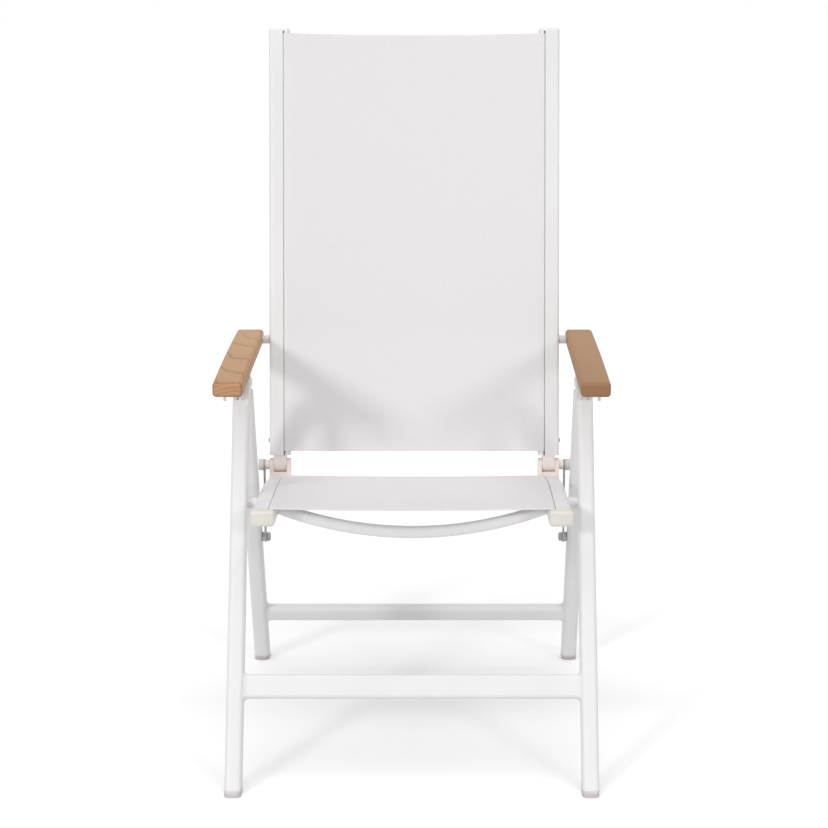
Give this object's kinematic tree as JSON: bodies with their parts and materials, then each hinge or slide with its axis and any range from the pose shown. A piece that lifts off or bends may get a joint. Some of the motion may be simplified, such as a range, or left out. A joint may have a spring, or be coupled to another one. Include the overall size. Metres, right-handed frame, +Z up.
{
  "type": "folding reclining patio chair",
  "caption": "High-back folding patio chair with a tube A-frame, sling seat and back, and wooden arms whose notched racks set the recline.",
  "frame": {"origin": "on the floor, under the middle of the open chair's box", "axes": "+Z up, the sitter faces -Y, +X to the right as seen from the front"},
  "size_m": [0.598, 0.6838, 1.0935],
  "materials": {
    "frame": "satin white powder coat",
    "ivory_plastic": "moulded, fine texture",
    "grey_plastic": "moulded, satin",
    "hinge_steel": "light grey paint",
    "steel": "zinc plated",
    "sling": "coated polyester mesh weave",
    "rod": "extruded",
    "wood": "oiled, open grain"
  },
  "bodies": {
    "front_frame": {"front_leg_left": "frame", "front_leg_right": "frame", "front_foot_left": "ivory_plastic", "front_foot_right": "ivory_plastic", "front_crossbar": "frame", "front_leg_head_left": "ivory_plastic", "front_leg_head_right": "ivory_plastic", "apex_pin_left": "steel", "apex_pin_right": "steel", "seat_pivot_bolts": "steel"},
    "rear_frame": {"rear_leg_left": "frame", "rear_leg_right": "frame", "rear_foot_left": "ivory_plastic", "rear_foot_right": "ivory_plastic", "rear_crossbar": "frame", "rear_leg_head_left": "ivory_plastic", "rear_leg_head_right": "ivory_plastic"},
    "seat_frame": {"seat_rail_left": "frame", "seat_rail_right": "frame", "seat_front_cap_left": "ivory_plastic", "seat_front_cap_right": "ivory_plastic", "seat_hinge_bracket_left": "ivory_plastic", "seat_hinge_bracket_right": "ivory_plastic", "seat_front_bow": "frame", "seat_rear_bow": "frame", "seat_sling": "sling", "seat_sling_rods": "rod"},
    "hinge_pins": {"hinge_pin_left": "hinge_steel", "hinge_pin_right": "hinge_steel", "hinge_spacers": "hinge_steel"},
    "links": {"link_plate_left": "steel", "link_plate_right": "steel", "link_bolts": "steel"},
    "back_frame": {"back_rail_left": "frame", "back_rail_right": "frame", "back_cap_left": "ivory_plastic", "back_cap_right": "ivory_plastic", "back_hinge_end_left": "ivory_plastic", "back_hinge_end_right": "ivory_plastic", "hinge_screws": "steel", "back_low_bow": "frame", "back_top_bow": "frame", "back_sling": "sling", "back_sling_rods": "rod"},
    "arm_bushes": {"arm_bushes": "grey_plastic"},
    "arm_bolts": {"arm_bolts": "steel"},
    "arm_left": {"arm_left": "wood", "arm_rack_left": "grey_plastic", "arm_screws_left": "steel"},
    "arm_right": {"arm_right": "wood", "arm_rack_right": "grey_plastic", "arm_screws_right": "steel"}
  },
  "joints": [
    {"name": "fold", "type": "hinge", "parent": "front_frame", "child": "rear_frame", "pos_m": [0, -0.007, 0.564], "axis": [-1, 0, 0], "range_deg": [0, 48]},
    {"name": "seat_tilt", "type": "hinge", "parent": "front_frame", "child": "seat_frame", "pos_m": [0, -0.10504, 0.39318], "axis": [-1, 0, 0], "range_deg": [0, 79.56]},
    {"name": "back_fold", "type": "hinge", "parent": "seat_frame", "child": "hinge_pins", "pos_m": [0, 0.1536, 0.3828], "axis": [1, 0, 0], "range_deg": [0, 68.66]},
    {"name": "link_swing", "type": "hinge", "parent": "seat_frame", "child": "links", "pos_m": [0, 0.1536, 0.3828], "axis": [-1, 0, 0], "range_deg": [0, 67.55]},
    {"name": "recline", "type": "hinge", "parent": "hinge_pins", "child": "back_frame", "pos_m": [0, 0.1536, 0.3828], "axis": [-1, 0, 0], "range_deg": [0, 40]},
    {"name": "arm_fold", "type": "hinge", "parent": "back_frame", "child": "arm_bolts", "pos_m": [0, 0.20111, 0.58695], "axis": [-1, 0, 0], "range_deg": [0, 102.39]},
    {"name": "arm_follow", "type": "hinge", "parent": "arm_bolts", "child": "arm_bushes", "pos_m": [0, 0.20111, 0.58695], "axis": [1, 0, 0], "range_deg": [0, 27.01]},
    {"name": "arm_lift_left", "type": "hinge", "parent": "arm_bushes", "child": "arm_left", "pos_m": [0, 0.20111, 0.58695], "axis": [-1, 0, 0], "range_deg": [0, 60]},
    {"name": "arm_lift_right", "type": "hinge", "parent": "arm_bushes", "child": "arm_right", "pos_m": [0, 0.20111, 0.58695], "axis": [-1, 0, 0], "range_deg": [0, 60]}
  ],
  "couplings": [
    {"joint": "seat_tilt", "follows": "fold", "ratio": 1.6573},
    {"joint": "back_fold", "follows": "fold", "ratio": 1.4302},
    {"joint": "link_swing", "follows": "fold", "ratio": 1.4071},
    {"joint": "arm_fold", "follows": "fold", "ratio": 2.1329},
    {"joint": "arm_follow", "follows": "recline", "ratio": 0.67495}
  ]
}
